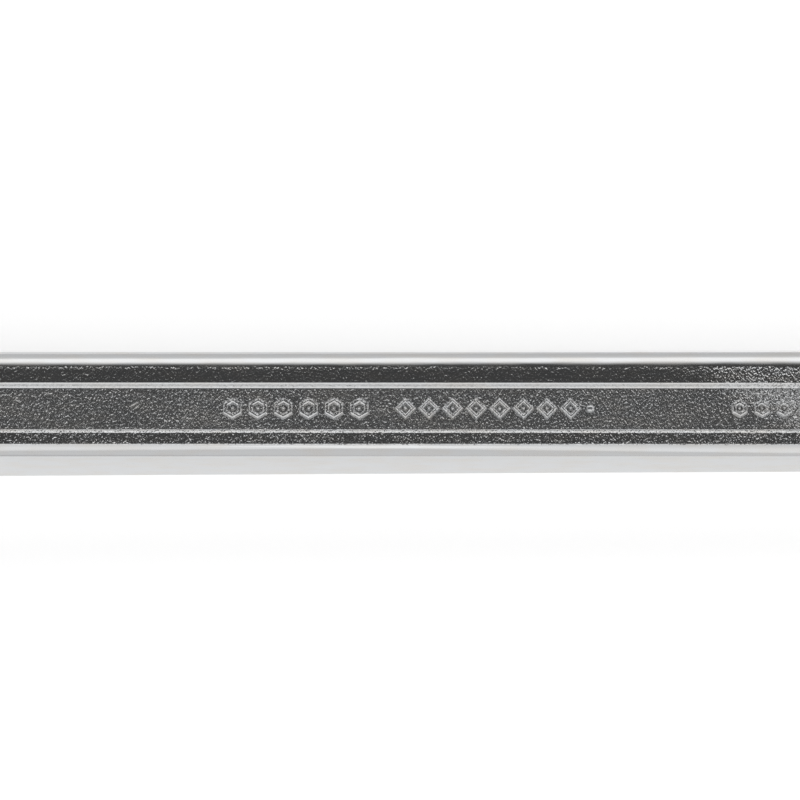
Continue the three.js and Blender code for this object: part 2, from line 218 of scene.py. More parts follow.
def extrude(step):
    bpy.ops.mesh.extrude_region_move(TRANSFORM_OT_translate={"value": tuple(Vector(step) * MM)})


def raised(name, points, height):
    """A flat outline made solid upwards."""
    obj = outline(name, points)
    with Edit(obj) as edit:
        edit.all()
        extrude((0, 0, height))
        edit.all()
        bpy.ops.mesh.normals_make_consistent(inside=False)
    return obj


def modify(obj, kind, **settings):
    pick(obj)
    modifier = obj.modifiers.new(kind.lower(), kind)
    for key, value in settings.items():
        setattr(modifier, key, value)
    bpy.ops.object.modifier_apply(modifier=modifier.name)
    return obj


def boolean(obj, other, operation):
    modify(obj, "BOOLEAN", operation=operation, object=other, solver="MANIFOLD")
    bpy.data.objects.remove(other)
    return obj


def cut(obj, *others):
    for other in others:
        boolean(obj, other, "DIFFERENCE")
    return obj


def join_solid(obj, *others):
    for other in others:
        boolean(obj, other, "UNION")
    return obj


def joined(name, objects):
    """Separate shells as one object."""
    deselect()
    for obj in objects:
        obj.select_set(True)
    bpy.context.view_layer.objects.active = objects[0]
    if len(objects) > 1:
        bpy.ops.object.join()
    objects[0].name = name
    return objects[0]


def turn(obj, angle, axis="Z", about=(0, 0, 0)):
    place = Matrix.Translation(Vector(about) * MM)
    obj.data.transform(place @ Matrix.Rotation(angle, 4, axis) @ place.inverted())
    return obj


def move(obj, x=0.0, y=0.0, z=0.0):
    obj.data.transform(Matrix.Translation(Vector((x, y, z)) * MM))
    return obj


def spun(name, profile, steps=128, about=(0, 0)):
    """A profile of (radius, height) points spun about an upright axis. It closes on itself, or starts and
    ends on the axis."""
    obj = outline(name, [(radius, 0, z) for radius, z in profile])
    with Edit(obj) as edit:
        edit.all()
        bpy.ops.mesh.delete(type="ONLY_FACE")
        edit.all()
        bpy.ops.mesh.spin(
            steps=steps,
            angle=2 * math.pi,
            center=(0, 0, 0),
            axis=(0, 0, 1),
            use_auto_merge=True,
        )
        close_up(edit)
        bpy.ops.mesh.delete_loose(use_verts=True, use_edges=True, use_faces=False)
    return move(obj, about[0], about[1])


def close_up(edit):
    """Merges what lies together and turns all faces outward."""
    edit.all()
    bpy.ops.mesh.remove_doubles(threshold=MERGE * MM)
    edit.all()
    bpy.ops.mesh.normals_make_consistent(inside=False)


def path(*stretches):
    """Stretches of points joined to one closed outline, without the points that repeat."""
    points = []
    for stretch in stretches:
        points += [point for point in stretch if not points or math.dist(point, points[-1]) > MERGE]
    return points[:-1] if math.dist(points[0], points[-1]) < MERGE else points


def rod(name, radius, low, high, about=(0, 0), sides=64):
    """A plain round bar, used to cut holes."""
    ring = arc(0, 0, radius, 0, 360 - 360 / sides, sides - 1)
    return move(raised(name, [(x, y, low) for x, y in ring], high - low), about[0], about[1])


def round_edges(obj, test, offset, segments=3):
    """Bevels the edges that a test picks."""
    with Edit(obj, "EDGE") as edit:
        edit.edges(test)
        bpy.ops.mesh.bevel(offset=offset * MM, segments=segments, affect="EDGES", clamp_overlap=True)
    return obj


def on_rim(*heights):
    """Picks the edges that lie flat at one of the heights."""
    def test(edge):
        ends = [vertex.co.z / MM for vertex in edge.verts]
        return any(all(abs(end - height) < 0.01 for end in ends) for height in heights)

    return test


def upright(edge):
    """Picks the edges that stand up."""
    low, high = edge.verts
    return abs(low.co.z - high.co.z) > MM


def shade(obj, angle=30):
    pick(obj)
    bpy.ops.object.shade_smooth_by_angle(angle=math.radians(angle))
    return modify(obj, "WEIGHTED_NORMAL", keep_sharp=True)


def arc(cx, cy, radius, start, end, steps):
    """Points on an arc in plan, both ends included. Angles are in degrees."""
    angles = [math.radians(start + (end - start) * step / steps) for step in range(steps + 1)]
    return [(cx + radius * math.cos(a), cy + radius * math.sin(a)) for a in angles]


# ---- Forged body ------------------------------------------------------------------------------

# Half-width at places along u: from inside the ring, down the neck, along the shank, and into the open head
WIDTHS = [
    (6, 14.0),
    (12, 12.3),
    (18, 10.2),
    (25, 8.6),
    (33, 7.3),
    (42, 6.6),
    (52, SHANK_HALF_WIDTH),
    (NECK_U - 52, SHANK_HALF_WIDTH),
    (NECK_U - 40, 6.6),
    (NECK_U - 30, 7.2),
    (NECK_U - 21, 9.0),
    (NECK_U - 14, 11.9),
    (NECK_U - 9, 14.2),
]
# Half-thickness at places along u, in the same order, with a level deck for the lever
HALVES = [
    (11, 5.05),
    (19, DECK_HALF),
    (30, DECK_HALF),
    (46, HALF_AT_RING_END),
    (NECK_U - 47, HALF_AT_JAW_END),
    (NECK_U - 24, 3.35),
    (NECK_U - 13, 3.85),
]


def half_width(u):
    """Half-width of the neck and shank: a smooth curve through WIDTHS."""
    if u >= WIDTHS[-1][0]:
        return WIDTHS[-1][1]
    i = max(n for n, (place, _) in enumerate(WIDTHS) if place <= u)
    before = WIDTHS[max(i - 1, 0)]
    (a, from_), (b, to) = WIDTHS[i : i + 2]
    after = WIDTHS[min(i + 2, len(WIDTHS) - 1)]
    t = (u - a) / (b - a)
    slope_a = (to - before[1]) / (b - before[0]) * (b - a)
    slope_b = (after[1] - from_) / (after[0] - a) * (b - a)
    return (
        (2 * t**3 - 3 * t**2 + 1) * from_
        + (t**3 - 2 * t**2 + t) * slope_a
        + (3 * t**2 - 2 * t**3) * to
        + (t**3 - t**2) * slope_b
    )


def half_thickness(u):
    """Half-thickness along u: a straight taper between the necks, and smooth swells into the heads."""
    if u <= HALVES[0][0]:
        return HALVES[0][1]
    if u >= HALVES[-1][0]:
        return HALVES[-1][1]
    i = max(n for n, (place, _) in enumerate(HALVES) if place <= u)
    (a, from_), (b, to) = HALVES[i : i + 2]
    t = (u - a) / (b - a)
    on_taper = to == HALF_AT_JAW_END
    return from_ + (to - from_) * (t if on_taper else t * t * (3 - 2 * t))


def quadratic(a, b, c, steps):
    """Points on a curve from a to c that leaves and arrives along its lines to b."""
    points = []
    for step in range(steps + 1):
        t = step / steps
        shares = ((1 - t) ** 2, 2 * t * (1 - t), t * t)
        points.append(tuple(sum(share * end for share, end in zip(shares, ends)) for ends in zip(a, b, c)))
    return points


def shoulders(near_drop):
    """Upper half of the shank's section, as shares of its half-width and half-thickness: near side, rounded
    corner, near shoulder, broad face, far shoulder."""
    w, h = SHANK_HALF_WIDTH, (HALF_AT_RING_END + HALF_AT_JAW_END) / 2
    side_top = h - near_drop
    corner = quadratic((-w, side_top - 0.1), (-w, side_top), (-w + 0.067, side_top + 0.074), 5)
    near = quadratic(corner[-1], (-w + 0.511, h - 0.233), (-w + NEAR_SHOULDER, h), 8)
    far = quadratic((w - FAR_SHOULDER, h), (w - 0.92, h - 0.085), (w, h - FAR_DROP), 14)
    return [(y / w, z / h) for y, z in corner[:-1] + near + far]


def section():
    """The shank's whole section, in the same shares."""
    return shoulders(NEAR_DROP) + [(y, -z) for y, z in reversed(shoulders(NEAR_DROP_BELOW))]


def shank_with_necks():
    """The section extruded in short steps, from inside the ring to inside the open head, and resized at
    each."""
    start, end = WIDTHS[0][0], WIDTHS[-1][0]
    steps = 120
    stations = [start + (end - start) * step / steps for step in range(steps + 1)]
    w, h = half_width(start), half_thickness(start)
    body = outline("forged_body", [(RING_X + start, y * w, MID_Z + z * h) for y, z in section()])
    with Edit(body) as edit:
        edit.all()
        for before, after in zip(stations, stations[1:]):
            extrude((after - before, 0, 0))
            wider = half_width(after) / half_width(before)
            thicker = half_thickness(after) / half_thickness(before)
            centre = Vector((RING_X + after, 0, MID_Z)) * MM
            bpy.ops.transform.resize(value=(1, wider, thicker), center_override=centre)
        edit.all()
        bpy.ops.mesh.normals_make_consistent(inside=False)
    return body


# Panel wall from the top down: distance outside the floor's edge, and depth under the face. The near wall's
# rim slopes more gently
PANEL_WALL = [(0.6, -0.06), (0.5, 0.0), (0.36, 0.08), (0.17, 0.3), (0.07, 0.37), (0.0, PANEL_DEPTH)]
NEAR_RIM = (0.18, -0.06)


def on_near_wall(depth):
    """Picks the vertices of the panel cutter's near wall down to a depth."""
    return lambda vertex: vertex.co.z / MM > -depth - 0.01 and vertex.co.y / MM < PANEL_SHIFT - 1


def panel_cutter():
    """What is milled out of the upper face: floor down, walls sloping, rim and floor edges rounded."""
    run, rise = PANEL_WALL[0]
    radius = PANEL_FLOOR / 2 + run
    straight = PANEL_LENGTH / 2 - PANEL_FLOOR / 2
    plan = arc(straight, PANEL_SHIFT, radius, -90, 90, 16)
    plan += arc(-straight, PANEL_SHIFT, radius, 90, 270, 16)
    cutter = outline("panel_cutter", [(x, y, PAST_FACE) for x, y in plan])
    with Edit(cutter) as edit:
        edit.all()
        extrude((0, 0, -PAST_FACE - rise))
        edit.all()
        bpy.ops.mesh.normals_make_consistent(inside=False)
        edit.faces(lambda face: face.normal.z < -0.9)
        for (outer, upper), (inner, lower) in zip(PANEL_WALL, PANEL_WALL[1:]):
            bpy.ops.mesh.inset(thickness=(outer - inner) * MM, depth=(lower - upper) * MM)
    with Edit(cutter, "VERT") as edit:
        for (_, depth), out in zip(PANEL_WALL[1:3], NEAR_RIM):
            edit.vertices(on_near_wall(depth))
            bpy.ops.transform.translate(value=(0, -out * MM, 0))
    return onto_panel(cutter)


def turned_over(obj, about_y=0.0):
    """A copy on the lower face."""
    copy = obj.copy()
    copy.data = obj.data.copy()
    bpy.context.collection.objects.link(copy)
    return turn(copy, math.pi, "X", about=(0, about_y, MID_Z))


def onto_panel(obj):
    """Takes what was made on the plane z = 0 to the upper face, which slopes down towards the open end."""
    (start, thick), (end, thin) = HALVES[3:5]
    taper = math.atan2(thick - thin, end - start)
    return move(turn(obj, taper, "Y"), z=MID_Z + half_thickness(-RING_X))


# Raised ornament in the panel. Each row has the place of its first figure along X, the number of figures,
# their pitch, their height across the panel, and the number of sides of each
ORNAMENT_ROWS = [(-18.7, 6, 2.83, 2.75, 6), (0.6, 8, 2.64, 2.75, 4), (38.0, 4, 2.5, 2.3, 6)]
ORNAMENT_STOP = 21.3
STOP_RADIUS = 0.5
DOME_RADIUS = 0.24
RIDGE_HALF_WIDTH = 0.4
RIDGE_HEIGHT = 0.36
FIGURE_WIDTH = 0.92  # share of the height
NICK_RADIUS = 0.11
NICK_HEIGHT = 0.16
NICKS = [(-29.7, 0.55, 1.1, 32), (-29.4, 0.2, 0.6, 40)]  # place in the panel, length, direction in degrees


def boss(name, x, radius, height):
    """A low round dome that stands on the panel's floor."""
    bpy.ops.mesh.primitive_uv_sphere_add(segments=20, ring_count=12, radius=radius * MM)
    obj = bpy.context.object
    obj.name = name
    obj.data.transform(Matrix.Diagonal((1, 1, height / radius, 1)))
    return move(obj, x, PANEL_SHIFT, -PANEL_DEPTH)


def nick(x, y, length, angle):
    """A small lip that a knock left on the panel's floor."""
    lip = move(boss("nick", 0, NICK_RADIUS, NICK_HEIGHT), 0, -PANEL_SHIFT)
    lip.data.transform(Matrix.Diagonal((length / (2 * NICK_RADIUS), 1, 1, 1)))
    return move(turn(lip, math.radians(angle)), x, PANEL_SHIFT + y)


def ornament():
    """Rows of hollow hexagons and lozenges, each a rounded ridge with a dome in the middle."""
    figures = [boss("ornament_stop", ORNAMENT_STOP, STOP_RADIUS, RIDGE_HEIGHT)]
    figures += [nick(*place) for place in NICKS]
    for start, count, pitch, height, sides in ORNAMENT_ROWS:
        for index in range(count):
            x = start + index * pitch
            deselect()
            bpy.ops.mesh.primitive_torus_add(
                major_segments=sides,
                minor_segments=16,
                major_radius=(height / 2 - RIDGE_HALF_WIDTH) * MM,
                minor_radius=RIDGE_HALF_WIDTH * MM,
            )
            ridge = bpy.context.object
            turn(ridge, math.pi / 2, "Z")
            ridge.data.transform(Matrix.Diagonal((FIGURE_WIDTH, 1, RIDGE_HEIGHT / RIDGE_HALF_WIDTH, 1)))
            figures.append(move(ridge, x, PANEL_SHIFT, -PANEL_DEPTH))
            figures.append(boss("ornament_dome", x, DOME_RADIUS, RIDGE_HEIGHT * 0.8))
    return onto_panel(joined("ornament", figures))


def ring_housing():
    """The ring round the gear, its outer edges rounded."""
    inside, edge = BORE_RADIUS - 2, RING_RADIUS - RING_EDGE
    profile = path(
        [(inside, 0)],
        arc(edge, RING_EDGE, RING_EDGE, -90, 0, 9),
        arc(edge, RING_TOP - RING_EDGE, RING_EDGE, 0, 90, 9),
        [(inside, RING_TOP)],
    )
    return spun("ring_housing", profile, 160, (RING_X, 0))


def at_jaws(obj):
    """From the open end's own axes to its place on the shank."""
    return move(turn(obj, JAW_ANGLE), JAW_X)


def open_head():
    """The open end's disc, cut off across its jaw tips, with rounded corners and edges."""
    meets = math.degrees(math.atan2(JAW_CORNER_Y, JAW_CORNER_X))
    plan = path(
        arc(0, 0, JAW_RADIUS, meets, 360 - meets, 110),
        arc(JAW_CORNER_X, -JAW_CORNER_Y, JAW_TIP_ROUND, -meets, 0, 12),
        arc(JAW_CORNER_X, JAW_CORNER_Y, JAW_TIP_ROUND, 0, meets, 12),
    )
    low, high = MID_Z - JAW_HALF, MID_Z + JAW_HALF
    head = raised("open_head", [(x, y, low) for x, y in plan], high - low)
    return at_jaws(round_edges(head, on_rim(low, high), JAW_EDGE, 9))


def jaw_opening():
    """Upper half of the opening between the jaws: two flats, a throat round the hexagon's back corner, and a
    chamfer at the face. The throat is relieved at the hexagon's corners."""
    relief = 0.5
    half, back = HEX_HALF + JAW_CHAMFER, HEX_CORNER + JAW_CHAMFER
    mouth, flat_end, bend = JAW_TIP + 8, -HEX_CORNER / 2 + relief, HEX_HALF / 2
    plan = path(
        [(mouth, -half), (mouth, half)],
        quadratic((flat_end, half), (-back + relief, half - relief), (-back, bend), 10),
        quadratic((-back, bend), (-back - 2 * relief, 0), (-back, -bend), 10),
        quadratic((-back, -bend), (-back + relief, -half + relief), (flat_end, -half), 10),
    )
    cutter = outline("jaw_opening", [(x, y, MID_Z + JAW_HALF + PAST_FACE) for x, y in plan])
    with Edit(cutter) as edit:
        edit.all()
        extrude((0, 0, -PAST_FACE))
        edit.all()
        bpy.ops.mesh.normals_make_consistent(inside=False)
        edit.faces(lambda face: face.normal.z < -0.9)
        bpy.ops.mesh.inset(thickness=JAW_CHAMFER * MM, depth=JAW_CHAMFER * MM)
        extrude((0, 0, -JAW_HALF))
        edit.all()
        bpy.ops.mesh.normals_make_consistent(inside=False)
    return cutter


def gear_bore():
    """Void for the gear: a lead-in, the circlip's groove, the bore, and the lip that it stops against."""
    profile = [
        (0, -1),
        (BORE_RADIUS + 1.4, -1),
        (BORE_RADIUS, 0.4),
        (BORE_RADIUS, GROOVE_Z[0]),
        (GROOVE_RADIUS, GROOVE_Z[0]),
        (GROOVE_RADIUS, GROOVE_Z[1]),
        (BORE_RADIUS, GROOVE_Z[1]),
        (BORE_RADIUS, LIP_Z),
        (LIP_RADIUS, LIP_Z),
        (LIP_RADIUS, RING_TOP - 0.35),
        (LIP_RADIUS + 1.35, RING_TOP + 1),
        (0, RING_TOP + 1),
    ]
    return spun("gear_bore", profile, 160, (RING_X, 0))


def pawl_pocket():
    """Void that the pawl rocks in, open to the gear, and tapering to the lever's stem."""
    half = [(9, 7.3), (18.3, 7.3), (19.2, 6.4), (19.2, 4.7), (23, 3.1)]
    plan = [(u, -v) for u, v in half] + half[::-1]
    low, high = POCKET_Z
    return move(raised("pawl_pocket", [(u, v, low) for u, v in plan], high - low), RING_X)


def pin_hole():
    radius, top = PIN_HOLE
    return rod("pin_hole", radius, 0, top, (PIN_X, 0), 32)


def stem_hole():
    """Void for the lever's stem, with a recess for its seal above and one for its clip below."""
    recess, depth = SEAL_RECESS
    wide, top = CLIP_RECESS
    profile = [
        (0, 0),
        (wide, 0),
        (wide, top),
        (STEM_HOLE, top),
        (STEM_HOLE, DECK_TOP - depth),
        (recess, DECK_TOP - depth),
        (recess, DECK_TOP - 0.12),
        (recess + 1.12, DECK_TOP + 1),
        (0, DECK_TOP + 1),
    ]
    return spun("stem_hole", profile, 64, (LEVER_X, 0))


def forged_body():
    """Shank with a panel and ornament on both faces, the two heads, and every void in them."""
    body = shank_with_necks()
    upper = panel_cutter()
    cut(body, turned_over(upper, PANEL_SHIFT), upper)
    figures = ornament()
    join_solid(body, turned_over(figures, PANEL_SHIFT), figures)
    join_solid(body, ring_housing(), open_head())
    opening = jaw_opening()
    cut(body, at_jaws(turned_over(opening)), at_jaws(opening))
    cut(body, gear_bore(), pawl_pocket(), pin_hole(), stem_hole())
    return shade(body, 12)


# ---- Ratchet ----------------------------------------------------------------------------------


def gear_with_socket():
    """Toothed band on a boss, with a twelve-point socket through it: two hexagons a twelfth of a turn
    apart."""
    pitch = 360 / GEAR_TEETH
    plan = []
    for tooth in range(GEAR_TEETH):
        for radius, share in ((GEAR_ROOT, -0.36), (GEAR_TIP, -0.12), (GEAR_TIP, 0.12), (GEAR_ROOT, 0.36)):
            angle = math.radians((tooth + share) * pitch)
            plan.append((radius * math.cos(angle), radius * math.sin(angle)))
    low, high = GEAR_BAND
    gear = raised("gear_with_socket", [(x, y, low) for x, y in plan], high - low)
    round_edges(gear, on_rim(low, high), 0.12, 2)
    bottom, top = BOSS_Z
    edge = 0.35
    boss_profile = [
        (0, bottom),
        (BOSS_RADIUS - edge, bottom),
        (BOSS_RADIUS - 0.1, bottom + 0.1),
        (BOSS_RADIUS, bottom + edge),
        (BOSS_RADIUS, top - edge),
        (BOSS_RADIUS - 0.1, top - 0.1),
        (BOSS_RADIUS - edge, top),
        (0, top),
    ]
    join_solid(gear, spun("boss", boss_profile, 144))
    for turned in (0, math.pi / 6):
        corners = arc(0, 0, HEX_CORNER, 0, 300, 5)
        hexagon = raised("socket_hexagon", [(x, y, bottom - 1) for x, y in corners], top - bottom + 2)
        round_edges(hexagon, upright, 0.35, 3)
        cut(gear, turn(hexagon, turned))
    start, mouth = top - 1.0, HEX_CORNER + 0.45
    lead_in = [(0, start), (HEX_HALF - 0.1, start), (mouth, top + 0.001), (mouth, top + 1), (0, top + 1)]
    upper = spun("lead_in", lead_in, 96)
    cut(gear, turned_over(upper), upper)
    return shade(move(gear, RING_X), 30)


def ring_clip():
    """Internal circlip: a flat ring with an eye at each end of its gap for the pliers."""
    inner, outer = CIRCLIP_RADII
    gap = math.degrees(CIRCLIP_GAP)
    lug = 9.0
    reach = inner - 0.75
    inside = path(
        arc(0, 0, inner, 360 - gap - lug, gap + lug, 120),
        arc(0, 0, reach, gap + lug - 2, gap, 6),
    )
    lug_in = arc(0, 0, reach, 360 - gap, 360 - gap - lug + 2, 6)
    low, high = CIRCLIP_Z
    plan = path(arc(0, 0, outer, gap, 360 - gap, 160), lug_in, inside)
    ring = raised("ring_clip", [(x, y, low) for x, y in plan], high - low)
    round_edges(ring, on_rim(low, high), 0.12, 2)
    middle = (inner + outer) / 2 - 0.35
    for side in (-1, 1):
        angle = math.radians(side * (gap + lug / 2 - 0.6))
        eye = rod("eye", 0.45, low - 1, high + 1, (middle * math.cos(angle), middle * math.sin(angle)), 24)
        cut(ring, eye)
    return shade(move(turn(ring, math.pi), RING_X), 30)


def rocker_pin():
    """Plain pin with chamfered ends."""
    low, high = PIN_LOW.z, PIN_HIGH.z
    edge = 0.2
    profile = [(0, low), (PIN_RADIUS - edge, low), (PIN_RADIUS, low + edge), (PIN_RADIUS, high - edge)]
    profile += [(PIN_RADIUS - edge, high), (0, high)]
    return shade(spun("rocker_pin", profile, 48, (PIN_X, 0)), 30)


# ---- Reversing lever --------------------------------------------------------------------------


def at_lever(obj):
    """From the lever's own axis to its place at rest."""
    return move(turn(obj, LEVER_REST), LEVER_X)


def thumb_lever():
    """Round knob with a tapered, ribbed thumb tab, on a stem with a cross hole for the plunger."""
    low, high = KNOB_Z
    edge = 0.55
    dish, dish_depth = 3.9, 0.18
    knob = path(
        [(0, low), (KNOB_RADIUS - 0.25, low), (KNOB_RADIUS, low + 0.25)],
        arc(KNOB_RADIUS - edge, high - edge, edge, 0, 90, 6),
        [(dish, high), (dish - 0.2, high - dish_depth), (0, high - dish_depth)],
    )
    lever = spun("thumb_lever", knob, 96)
    tab_low, tab_high = TAB_Z
    tip = TAB_REACH - TAB_TIP / 2
    plan = path(
        [(0, -TAB_ROOT / 2)],
        arc(tip, 0, TAB_TIP / 2, -75, 75, 16),
        [(0, TAB_ROOT / 2)],
    )
    tab = raised("tab", [(x, y, tab_low) for x, y in plan], tab_high - tab_low)
    round_edges(tab, on_rim(tab_low, tab_high), 0.35, 4)
    for place in TAB_GROOVES:
        groove = rod("groove", 0.3, -TAB_ROOT / 2, TAB_ROOT / 2, sides=20)
        cut(tab, move(turn(groove, math.pi / 2, "X"), place, 0, tab_high + 0.08))
    join_solid(lever, tab)
    clip_low, clip_high = CLIP_Z[0] - 0.1, CLIP_Z[1] + 0.1
    neck, foot = CLIP_RADII[0] - 0.15, clip_low - 0.15
    stem = [
        (0, foot),
        (STEM_RADIUS - 0.05, foot),
        (STEM_RADIUS, foot + 0.05),
        (STEM_RADIUS, clip_low),
        (neck, clip_low),
        (neck, clip_high),
        (STEM_RADIUS, clip_high),
        (STEM_RADIUS, low + 0.3),
        (0, low + 0.3),
    ]
    join_solid(lever, spun("stem", stem, 64))
    radius, past = CROSS_HOLE
    hole = turn(rod("cross_hole", radius, -past, STEM_RADIUS + 1, sides=32), -math.pi / 2, "Y")
    cut(lever, move(hole, z=PLUNGER_Z))
    return shade(at_lever(lever), 30)


def stem_seal():
    """O-ring, pressed slightly flat where it meets the stem and its recess."""
    deselect()
    bpy.ops.mesh.primitive_torus_add(
        major_segments=72,
        minor_segments=20,
        major_radius=SEAL_RING * MM,
        minor_radius=SEAL_WIRE * MM,
    )
    ring = bpy.context.object
    ring.name = "stem_seal"
    for side, size in ((1, 0.994), (-1, 1.008)):
        with Edit(ring, "VERT") as edit:
            edit.vertices(lambda vertex: side * (vertex.co.xy.length / MM - SEAL_RING) > SEAL_PRESSED)
            bpy.ops.transform.resize(value=(size, size, 1), center_override=(0, 0, 0))
    return shade(at_lever(move(ring, z=SEAL_Z)), 60)


def stem_clip():
    """E-clip: three lugs that grip the stem's groove, and a mouth that it was pushed on by."""
    inner, outer = CLIP_RADII
    gap, relieved = math.degrees(CLIP_GAP), inner + 0.55
    inside = path(
        arc(0, 0, inner, 360 - gap, 290, 4),
        arc(0, 0, relieved, 285, 205, 14),
        arc(0, 0, inner, 198, 162, 6),
        arc(0, 0, relieved, 155, 75, 14),
        arc(0, 0, inner, 70, gap, 4),
    )
    low, high = CLIP_Z
    plan = path(arc(0, 0, outer, gap, 360 - gap, 60), inside)
    clip = raised("stem_clip", [(x, y, low) for x, y in plan], high - low)
    round_edges(clip, on_rim(low, high), 0.08, 2)
    return shade(at_lever(clip), 30)


def along_lever(obj):
    """From an upright piece to one that points from the lever's axis to the pawl."""
    return at_lever(move(turn(obj, -math.pi / 2, "Y"), z=PLUNGER_Z))


def plunger_cap():
    """Hollow cap with a round nose."""
    tail, tip = PLUNGER_REACH
    wall = tip - PLUNGER_RADIUS - 0.6
    profile = path(
        [(0, wall), (PLUNGER_BORE - 0.1, wall), (PLUNGER_BORE, wall - 0.1)],
        [(PLUNGER_BORE, tail + 0.05), (PLUNGER_BORE + 0.05, tail), (PLUNGER_RADIUS - 0.08, tail)],
        [(PLUNGER_RADIUS, tail + 0.08)],
        arc(0, tip - PLUNGER_RADIUS, PLUNGER_RADIUS, 0, 90, 12),
    )
    return shade(along_lever(spun("plunger_cap", profile, 48)), 40)


def coil_spring():
    """Round wire wound on the Screw modifier, its ends closed."""
    start, end = SPRING_REACH
    wire = arc(SPRING_COIL, 0, SPRING_WIRE, 0, 330, 11)
    spring = outline("coil_spring", [(x, 0, z + start) for x, z in wire])
    with Edit(spring) as edit:
        edit.all()
        bpy.ops.mesh.delete(type="ONLY_FACE")
    pitch = (end - start) / SPRING_TURNS
    modify(
        spring,
        "SCREW",
        axis="Z",
        screw_offset=pitch * MM,
        iterations=SPRING_TURNS,
        steps=28,
        render_steps=28,
        use_merge_vertices=False,
    )
    with Edit(spring) as edit:
        edit.all()
        bpy.ops.mesh.fill_holes(sides=0)
        close_up(edit)
    return shade(along_lever(spring), 60)


# ---- Finishes ---------------------------------------------------------------------------------
# A node's output is handed on as a (node, output) pair.


def linear(hex_colour):
    """An sRGB hex colour as linear values."""
    parts = [int(hex_colour[i : i + 2], 16) / 255 for i in (1, 3, 5)]
    return [c / 12.92 if c <= 0.04045 else ((c + 0.055) / 1.055) ** 2.4 for c in parts] + [1.0]


def node(tree, kind, settings=None, links=None):
    """Adds one node. settings fills properties and inputs by name, and links joins inputs to other nodes'
    outputs."""
    made = tree.nodes.new(kind)
    for key, value in (settings or {}).items():
        if isinstance(key, str) and key not in made.inputs:
            setattr(made, key, value)
        else:
            made.inputs[key].default_value = value
    for key, (source, output) in (links or {}).items():
        tree.links.new(source.outputs[output], made.inputs[key])
    return made


def material(name):
    made = bpy.data.materials.new(name)
    made.use_nodes = True
    made.node_tree.nodes.clear()
    return made, made.node_tree


def millimetres(tree, centre=(0, 0, 0), stretch=(1, 1, 1)):
    """Object coordinates in millimetres about a place. A stretch below 1 draws marks out that way."""
    place = node(tree, "ShaderNodeTexCoord")
    scale = [share / MM for share in stretch]
    shift = [-c * share for c, share in zip(centre, stretch)]
    settings = {"Location": shift, "Scale": scale}
    return node(tree, "ShaderNodeMapping", settings, {"Vector": (place, "Object")}), "Vector"


def along_grind(tree):
    """Coordinates drawn out along X, as grinding scratches are."""
    return millimetres(tree, stretch=(0.3, 5, 5))


def about_gear(tree):
    """Coordinates that change only with height and the distance from the gear's axis, as lathe marks do."""
    axes = node(tree, "ShaderNodeSeparateXYZ", links={"Vector": millimetres(tree, (RING_X, 0, 0))})
    flat = node(tree, "ShaderNodeCombineXYZ", links={"X": (axes, "X"), "Y": (axes, "Y")})
    radius = node(tree, "ShaderNodeVectorMath", {"operation": "LENGTH"}, {0: (flat, "Vector")})
    return node(tree, "ShaderNodeCombineXYZ", links={"X": (radius, "Value"), "Z": (axes, "Z")}), "Vector"


def noise(tree, place, scale, detail=1.0):
    settings = {"Scale": scale, "Detail": detail, "Roughness": 0.5}
    return node(tree, "ShaderNodeTexNoise", settings, {"Vector": place}), "Fac"


def spread(tree, source, low, high, to_low, to_high):
    """Takes one range of a value to another, and holds it at the ends."""
    settings = {"From Min": low, "From Max": high, "To Min": to_low, "To Max": to_high}
    return node(tree, "ShaderNodeMapRange", settings, {"Value": source}), "Result"


def maths(tree, operation, *values):
    """One step of arithmetic on numbers and outputs."""
    links = {place: value for place, value in enumerate(values) if isinstance(value, tuple)}
    settings = {place: value for place, value in enumerate(values) if place not in links}
    return node(tree, "ShaderNodeMath", {"operation": operation, **settings}, links), "Value"


def product(tree, made, *others):
    for other in others:
        made = maths(tree, "MULTIPLY", made, other)
    return made


def two_tones(tree, share, first, second):
    settings = {"data_type": "RGBA", 6: linear(first), 7: linear(second)}
    return node(tree, "ShaderNodeMix", settings, {0: share}), 2


def surface(tree, settings, links):
    shader = node(tree, "ShaderNodeBsdfPrincipled", settings, links)
    node(tree, "ShaderNodeOutputMaterial", links={"Surface": (shader, "BSDF")})


# Where the shank's blasted rails end, along Y, and how far from each head's middle its polish ends
NEAR_BORDER = -5.36
FAR_BORDER = 4.175
HEAD_POLISH = ((RING_X, 32.0), (JAW_X, 34.0))
HEAD_FADE = 9.0

GRAIN_SCALE = 3.0
GRAIN_RELIEF = 0.088
FLOOR_GRAIN = 1.1  # strength of the grain on the panel's floor
RAIL_GRAIN = (1.2, 0.75)  # and on the rails, at the near and far sides
CORNER_GRAIN = 1.9  # how many times as strong towards the open end
WAVE_RELIEF = 0.2


